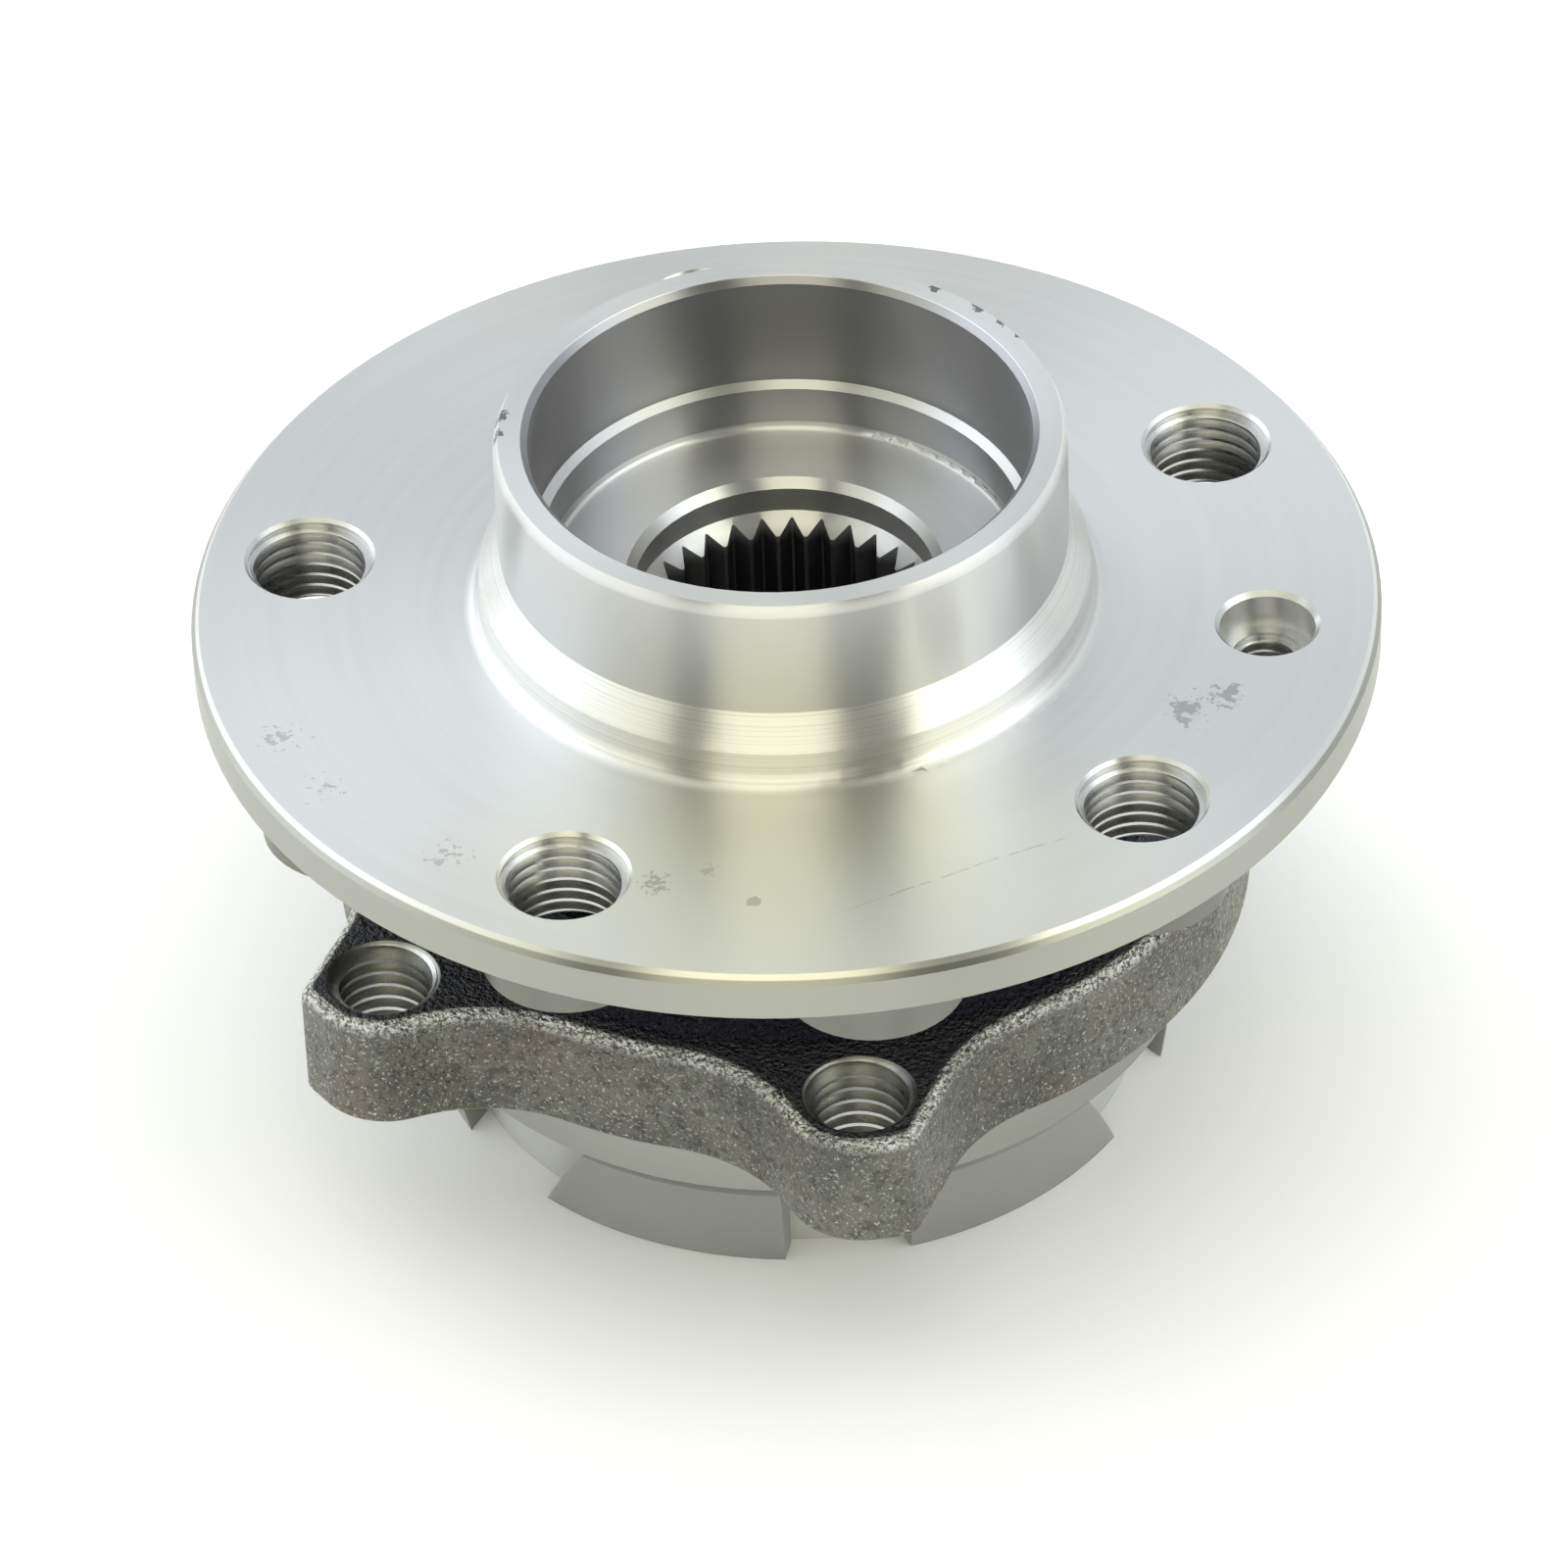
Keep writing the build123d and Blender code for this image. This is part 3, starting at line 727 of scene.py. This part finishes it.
colour = layers(
    tree, blend(tree, fade(tree, broad_lines, 0.3, 0.7), grey(0.71), grey(0.74, -0.005)),
    # painted warm reflection
    (painted_warm_reflection, (0.80, 0.80, 0.72, 1)),
    (on_seat, (0.80, 0.80, 0.78, 1)),
    (calc(tree, "MULTIPLY", seat_grooves, 0.30), (0.46, 0.46, 0.44, 1)),
    # painted shade on the back of the flange
    (fade(tree, height, *painted_shade_behind_flange), (0.215, 0.215, 0.195, 1)),
    # painted shade on the rim
    (fade(tree, radius, *painted_shade_rim_starts), (0.39, 0.39, 0.355, 1)),
    # painted shade on the pilot's wall
    (painted_shade_on_pilot, (0.60, 0.605, 0.60, 1)),
    # painted shade in the recess
    (painted_shade_in_recess, (0.40, 0.40, 0.42, 1)),
    # painted shade in the spline
    (painted_shade_in_spline, (0.20, 0.20, 0.22, 1)),
    (calc(tree, "MULTIPLY", stained, 0.45), (0.30, 0.29, 0.29, 1)),
    (calc(tree, "MULTIPLY", scratch, 0.5), (0.34, 0.33, 0.31, 1)),
    (calc(tree, "MULTIPLY", nicked, 0.8), (0.10, 0.09, 0.08, 1)))
roughness = calc(tree, "ADD", 0.29, calc(tree, "MULTIPLY", fine_lines, 0.06),
                 calc(tree, "MULTIPLY", stained, 0.15))
relief = calc(tree, "ADD", fine_lines, calc(tree, "MULTIPLY", broad_lines, 0.25),
              calc(tree, "MULTIPLY", seat_lines, 1.8, on_seat))
connect(tree, shader, base_color=colour, roughness=roughness, normal=bumps(tree, relief, 0.000003))
brushed_about_axis(tree, shader, 0.93)
print("turned steel reads", len(tree.nodes), "nodes")

# %% [markdown]
# ### Forged skin and machined faces
#
# The outer ring is a forging that was shot-blasted: its skin is dark and grainy, and its small
# glints are painted highlights. A lathe and drills then cut the spigot, the bores, the faces and
# the bolt holes bright.
# One material does both. Masks of height, radius and the distance from the nearest bolt hole
# choose between them, so the border between skin and cut steel lies where the tool left it. The
# upper face and the collar round the barrel lie in the shade of the flange and are painted dark,
# while the rounded edge round the upper face gets a painted highlight with glints.

# %% Forged ring
hole_border = 0.35 * MM          # a bolt hole's bright border beyond its wall, and where it is full
hole_full = 0.22 * MM
below_ears = (knuckle_face + 0.12 * MM, knuckle_face + 0.02 * MM)
bore_wall = (44.0 * MM, 43.6 * MM)
collar_wall = (49.3 * MM, 48.9 * MM)
upper_face_from = (-25.0 * MM, -24.5 * MM)
# Heights of the painted highlight on the rounded edge round the upper face.
edge_highlight_from = (-26.8 * MM, -25.6 * MM)
dark_skin, light_skin = (0.155, 0.155, 0.135, 1), (0.24, 0.238, 0.21, 1)
dark_cut, light_cut = (0.35, 0.35, 0.325, 1), (0.43, 0.43, 0.40, 1)
rust_colour, spot_colour = (0.205, 0.155, 0.125, 1), (0.085, 0.083, 0.075, 1)
shade_colour = (0.035, 0.035, 0.052, 1)
# Colours of the painted highlight on the edge and of the painted glints.
edge_highlight_colour, painted_glint_colour = (0.88, 0.88, 0.85, 1), (0.62, 0.61, 0.58, 1)

forged_ring_steel, tree, shader = new_material("forged_ring_steel", metallic=1.0)
point = object_place(tree)
radius, height = place_on_bearing(tree)
axes = split(tree, point)
bolt_distance = measure(tree, "LENGTH", joined(
    tree,
    X=calc(tree, "SUBTRACT", calc(tree, "ABSOLUTE", axes["X"]), knuckle_half_x),
    Y=calc(tree, "SUBTRACT", calc(tree, "ABSOLUTE", axes["Y"]), knuckle_half_y)))
in_hole = fade(tree, bolt_distance, knuckle_bolt_radius + hole_border,
               knuckle_bolt_radius + hole_full)
cut = either(tree, in_hole, fade(tree, height, *below_ears), fade(tree, radius, *bore_wall))
uncut = outside(tree, cut)

coarse = noise(tree, point, 900, 3.0, 0.65)
medium = noise(tree, point, 2200, 2.0, 0.7)
cloud = noise(tree, point, 60, 3.0, 0.6)
pits = add(tree, "ShaderNodeTexVoronoi", {"Vector": point, "Scale": 1500.0, "Randomness": 1.0},
           feature="SMOOTH_F1").outputs["Distance"]
ring_lines = turning_marks(tree, 0.00018, 1.0)
upward_facing = split(tree, add(tree, "ShaderNodeNewGeometry").outputs["True Normal"])["Z"]
upper_face = both(tree, fade(tree, upward_facing, 0.93, 0.99),
                  fade(tree, height, *upper_face_from))
collar = fade(tree, radius, *collar_wall)
# Painted glints: light specks in the skin's colour, kept off the shaded upper face and collar.
painted_glints = both(tree, fade(tree, noise(tree, point, 2300, 2.0, 0.8), 0.57, 0.69),
             outside(tree, calc(tree, "MULTIPLY", either(tree, upper_face, collar), 0.9)))
rust = fade(tree, noise(tree, point, 110, 4.0, 0.7), 0.50, 0.64)
# Painted highlight on the rounded edge round the upper face, where it faces partly up.
painted_edge_highlight = both(tree, within(tree, upward_facing, (0.02, 0.70), (0.985, 0.90)),
                 calc(tree, "SUBTRACT", fade(tree, height, *edge_highlight_from), collar),
                 fade(tree, medium, 0.38, 0.60), fade(tree, cloud, 0.35, 0.55, 0.35, 1.0))
skin = layers(
    tree, blend(tree, fade(tree, cloud, 0.35, 0.65), dark_skin, light_skin),
    (calc(tree, "MULTIPLY", rust, 0.45), rust_colour),
    (calc(tree, "MULTIPLY", fade(tree, coarse, 0.50, 0.38), 0.6), spot_colour),
    (either(tree, calc(tree, "MULTIPLY", upper_face, 0.8), collar), shade_colour),
    # painted highlight on the edge
    (painted_edge_highlight, edge_highlight_colour),
    # painted glints
    (painted_glints, painted_glint_colour))
colour = blend(tree, cut, skin, blend(tree, ring_lines, dark_cut, light_cut))
roughness = calc(tree, "ADD", both(tree, fade(tree, painted_glints, 0.0, 1.0, 0.46, 0.26), uncut),
                 calc(tree, "MULTIPLY", cut, 0.34))
grain = calc(tree, "ADD", calc(tree, "MULTIPLY", coarse, 0.7),
             calc(tree, "MULTIPLY", medium, 0.8), calc(tree, "MULTIPLY", pits, 0.5))
relief = calc(tree, "ADD", both(tree, grain, uncut),
              calc(tree, "MULTIPLY", ring_lines, 0.02, cut))
connect(tree, shader, base_color=colour, roughness=roughness, normal=bumps(tree, relief, 0.0011))
print("a bolt hole is bright up to radius", round((knuckle_bolt_radius + hole_full) / MM, 2), "mm")

# %% [markdown]
# ### Cap plastic
#
# The cap is moulded in a milky grey plastic that lets a little light through. Its wall stands in
# the light and looks pale, while its thick feet look darker. This is painted into the colour by
# radius: painted light on the wall and painted shade on the feet.

# %% Cap plastic
feet_start = (39.1 * MM, 39.6 * MM)
cap_plastic, tree, shader = new_material("milky_cap_plastic")
point = object_place(tree)
radius, _ = place_on_bearing(tree)
milky = noise(tree, point, 55, 3.0, 0.6)
# Painted light on the wall and painted shade on the thick feet, chosen by radius.
lit_wall_colour = blend(tree, milky, (0.46, 0.47, 0.46, 1), (0.55, 0.56, 0.55, 1))
shaded_foot_colour = blend(tree, milky, (0.235, 0.24, 0.24, 1), (0.31, 0.315, 0.315, 1))
connect(tree, shader,
        base_color=blend(tree, fade(tree, radius, *feet_start), lit_wall_colour, shaded_foot_colour),
        roughness=fade(tree, milky, 0.3, 0.7, 0.34, 0.46),
        normal=bumps(tree, noise(tree, point, 1400), 0.00002))
shader.inputs["Subsurface Weight"].default_value = 0.25
shader.inputs["Subsurface Radius"].default_value = (0.6, 0.6, 0.55)
shader.inputs["Subsurface Scale"].default_value = 0.003
print("the cap's feet start at radius", round(feet_start[0] / MM, 1), "mm")

# %% [markdown]
# ### Cut threads and hidden pieces
#
# A tap leaves threads bright, with faint marks along them. The pieces inside the bearing are seen
# only when it is taken apart or looked at from below, but each has its own finish: ground races,
# polished balls, moulded cages with short glass fibres, pressed seal cases, soft black lips and
# the brown magnetised ring that a speed sensor reads.

# %% Threads
thread_steel, tree, shader = new_material("tapped_thread_steel", metallic=1.0)
stretched = add(tree, "ShaderNodeMapping", {
    "Vector": object_place(tree), "Scale": (1.0, 1.0, 6.0)}).outputs[0]
tap_marks = noise(tree, stretched, 900, 3.0, 0.6)
connect(tree, shader,
        base_color=blend(tree, tap_marks, (0.52, 0.52, 0.53, 1), (0.70, 0.70, 0.70, 1)),
        roughness=fade(tree, tap_marks, 0.3, 0.7, 0.26, 0.42),
        normal=bumps(tree, tap_marks, 0.000012))
print(thread_steel.name, "is ready")


# %% Hidden steels
def clouded(tree, scale, dark, light):
    """A colour that drifts between two in soft clouds."""
    clouds = noise(tree, object_place(tree), scale, 3.0, 0.6)
    return blend(tree, fade(tree, clouds, 0.35, 0.65), dark, light)


def round_steel(name, dark, light, rough, pitch, depth, amount):
    """Steel with circular marks: two colours, a range of roughness, its marks and their depth."""
    material, tree, shader = new_material(name, metallic=1.0)
    lines = turning_marks(tree, pitch, 2.0)
    connect(tree, shader, base_color=clouded(tree, 120, dark, light),
            roughness=fade(tree, lines, 0.3, 0.7, *rough), normal=bumps(tree, lines, depth))
    brushed_about_axis(tree, shader, amount)
    return material


ground_steel = round_steel("ground_race_steel", grey(0.52, 0.02), grey(0.60, 0.02),
                           (0.14, 0.26), pitch=0.00009, depth=0.000001, amount=0.6)
seal_steel = round_steel("pressed_seal_steel", grey(0.36, 0.02), grey(0.46, 0.02),
                         (0.26, 0.42), pitch=0.0005, depth=0.000004, amount=0.4)
ball_steel, tree, shader = new_material("polished_ball_steel", metallic=1.0)
oil = noise(tree, object_place(tree), 300, 3.0, 0.6)
connect(tree, shader, base_color=blend(tree, oil, grey(0.70, 0.01), grey(0.80, 0.01)),
        roughness=fade(tree, oil, 0.35, 0.7, 0.05, 0.16), normal=bumps(tree, oil, 0.0000008))
print("hidden steels:", ", ".join(made.name for made in (ground_steel, seal_steel, ball_steel)))


# %% Hidden plastics and rubbers
def moulded(name, dark, light, rough, grain, depth):
    """Plastic or rubber with a fine moulded grain."""
    material, tree, shader = new_material(name)
    grains = noise(tree, object_place(tree), grain, 3.0, 0.65)
    connect(tree, shader, base_color=clouded(tree, 90, dark, light),
            roughness=fade(tree, grains, 0.3, 0.7, *rough), normal=bumps(tree, grains, depth))
    return material


cage_plastic = moulded("glass_filled_cage", (0.30, 0.15, 0.06, 1), (0.42, 0.23, 0.10, 1),
                       (0.38, 0.55), grain=2600, depth=0.00001)
seal_rubber = moulded("black_seal_rubber", (0.018, 0.018, 0.02, 1), (0.035, 0.035, 0.037, 1),
                      (0.45, 0.65), grain=3000, depth=0.00001)
encoder_rubber = moulded("magnetised_ring_rubber", (0.055, 0.042, 0.034, 1),
                         (0.085, 0.068, 0.055, 1), (0.40, 0.60), grain=3500, depth=0.000006)
hidden_soft = (cage_plastic, seal_rubber, encoder_rubber)
print("hidden plastic and rubbers:", ", ".join(made.name for made in hidden_soft))

# %% [markdown]
# ### Putting the finishes on
#
# A new piece takes its material in its mesh. A CAD node's mesh is never changed, so its material
# goes on the object's slot instead. The loop below covers every node by its name.

# %% Dress every piece
def paint(piece, material):
    """Gives a new piece one material."""
    piece.data.materials.clear()
    piece.data.materials.append(material)


dressed = {hub: turned_steel, ring: forged_ring_steel, cap: cap_plastic}
dressed.update((thread, thread_steel) for thread in threads)
for piece, material in dressed.items():
    paint(piece, material)
node_finishes = {
    "wheel_hub": turned_steel, "outer_ring": forged_ring_steel, "protective_cap": cap_plastic,
    "inner_ring": ground_steel, "outboard_cage": cage_plastic, "inboard_cage": cage_plastic,
    "outboard_seal_case": seal_steel, "inboard_seal_case": seal_steel,
    "seal_slinger": seal_steel, "outboard_seal_rubber": seal_rubber,
    "inboard_seal_rubber": seal_rubber, "speed_encoder_ring": encoder_rubber,
}
for node_name, node in frame["nodes"].items():
    for slot in node.material_slots:
        slot.link = "OBJECT"
        slot.material = ball_steel if "_ball_" in node_name else node_finishes[node_name]
print("dressed", len(frame["nodes"]), "CAD nodes and", len(dressed), "new pieces")

# %% [markdown]
# ## Floor and light
#
# The bearing stands on a plain pale floor in a tent of white cloth. Bright steel shows what
# surrounds it, so the light is the cloth itself: the world's colour. It is cool and bright to the
# left and the right. The tent is open at the front, in the upright plane through the camera, and
# the opening is dark, apart from a narrow bright window near its middle. The cloth beside it is
# warmer, and three soft lobes of light stand to the left, to the right and behind on the left.

# %% Floor
floor_size = 6
floor_gap = 0.05 * MM            # keeps the floor clear of the lowest face
floor_height = cad_box[0].z
bpy.ops.mesh.primitive_plane_add(size=floor_size, location=(0, 0, floor_height - floor_gap))
floor = bpy.context.object
floor.name = "floor"
floor_cloth, tree, shader = new_material("floor_cloth")
# Soft patches where the floor's colour and roughness change a little.
floor_mottle = noise(tree, object_place(tree), 6, 3.0, 0.5)
connect(tree, shader,
        base_color=blend(tree, fade(tree, floor_mottle, 0.4, 0.7),
                         (0.885, 0.89, 0.905, 1), (0.865, 0.87, 0.875, 1)),
        roughness=fade(tree, floor_mottle, 0.3, 0.7, 0.80, 0.90))
shader.inputs["Specular IOR Level"].default_value = 0.2
paint(floor, floor_cloth)
print("the floor is at", round((floor_height - floor_gap) / MM, 2), "mm")

# %% Light tent
opening_edge = (0.75, 0.55)      # borders in the way aside over the way forwards
window_edge = (0.38, 0.22)
window_offset = 0.09
warm_edge = (2.4, 0.7)
front_half = (-0.45, 0.0)
least_spread = 0.30
cool_tint, warm_tint = (0.95, 1.0, 1.02), (1.0, 1.0, 0.82)
window_colour = (1.34, 1.31, 1.00, 1)
lobes = (                        # azimuth from the front, elevation, narrowness, strength
    (68, 32, 0.80, 1.6),
    (-118, 28, 0.72, 1.15),
    (-72, 20, 0.85, 0.5),
)

world = bpy.data.worlds.new("light_tent")
world.use_nodes = True
bpy.context.scene.world = world
tree = world.node_tree
way = add(tree, "ShaderNodeTexCoord").outputs["Generated"]
across = measure(tree, "DOT_PRODUCT", way, sideways)
forward = measure(tree, "DOT_PRODUCT", way, front)
upward = split(tree, way)["Z"]
spread = calc(tree, "ADD", least_spread, calc(tree, "MAXIMUM", forward, 0.0))
aside = calc(tree, "DIVIDE", calc(tree, "ABSOLUTE", across), spread)
from_window = calc(tree, "DIVIDE", gap(tree, across, -window_offset), spread)
in_front = fade(tree, forward, *front_half)
opening = both(tree, fade(tree, aside, *opening_edge), in_front)
window = both(tree, fade(tree, from_window, *window_edge), in_front)
warmth = both(tree, fade(tree, aside, *warm_edge), in_front)


def lobe(azimuth, elevation, narrow, strength):
    """A soft bright place on the tent."""
    centre = direction(front_azimuth + math.radians(azimuth), math.radians(elevation))
    return fade(tree, measure(tree, "DOT_PRODUCT", way, centre), narrow, 1.0, 0.0, strength)


def tinted(tint, strength):
    """A tint at the strength of the light."""
    return add(tree, "ShaderNodeVectorMath", {0: tint, "Scale": strength},
               operation="SCALE").outputs[0]


brightness = calc(tree, "ADD", *[lobe(*numbers) for numbers in lobes],
                  fade(tree, upward, 0.2, 1.0, 0.78, 0.94))
dim_cloth = blend(tree, fade(tree, forward, 0.0, 0.5),
                  (0.42, 0.42, 0.35, 1), (0.17, 0.165, 0.14, 1))
cloth = layers(
    tree, tinted(cool_tint, brightness),
    (warmth, tinted(warm_tint, brightness)),
    (opening, dim_cloth),
    (window, window_colour))
tree.links.new(cloth, tree.nodes["Background"].inputs["Color"])
tree.nodes["Background"].inputs["Strength"].default_value = 1.0
print("the tent has", len(lobes), "lobes of light")

# %% [markdown]
# A broad square lamp overhead lights the floor. It is hidden from glossy rays, so it leaves no
# image of itself in the steel.

# %% Overhead lamp
lamp_height = 2.5
lamp_size = 3.0
lamp_power = 38
lamp_data = bpy.data.lights.new("overhead_lamp", "AREA")
lamp_data.size = lamp_size
lamp_data.energy = lamp_power
lamp = bpy.data.objects.new("overhead_lamp", lamp_data)
bpy.context.scene.collection.objects.link(lamp)
lamp.location = (0, 0, lamp_height)
lamp.visible_glossy = False
print("the lamp gives", lamp_power, "W from", lamp_height, "m up")
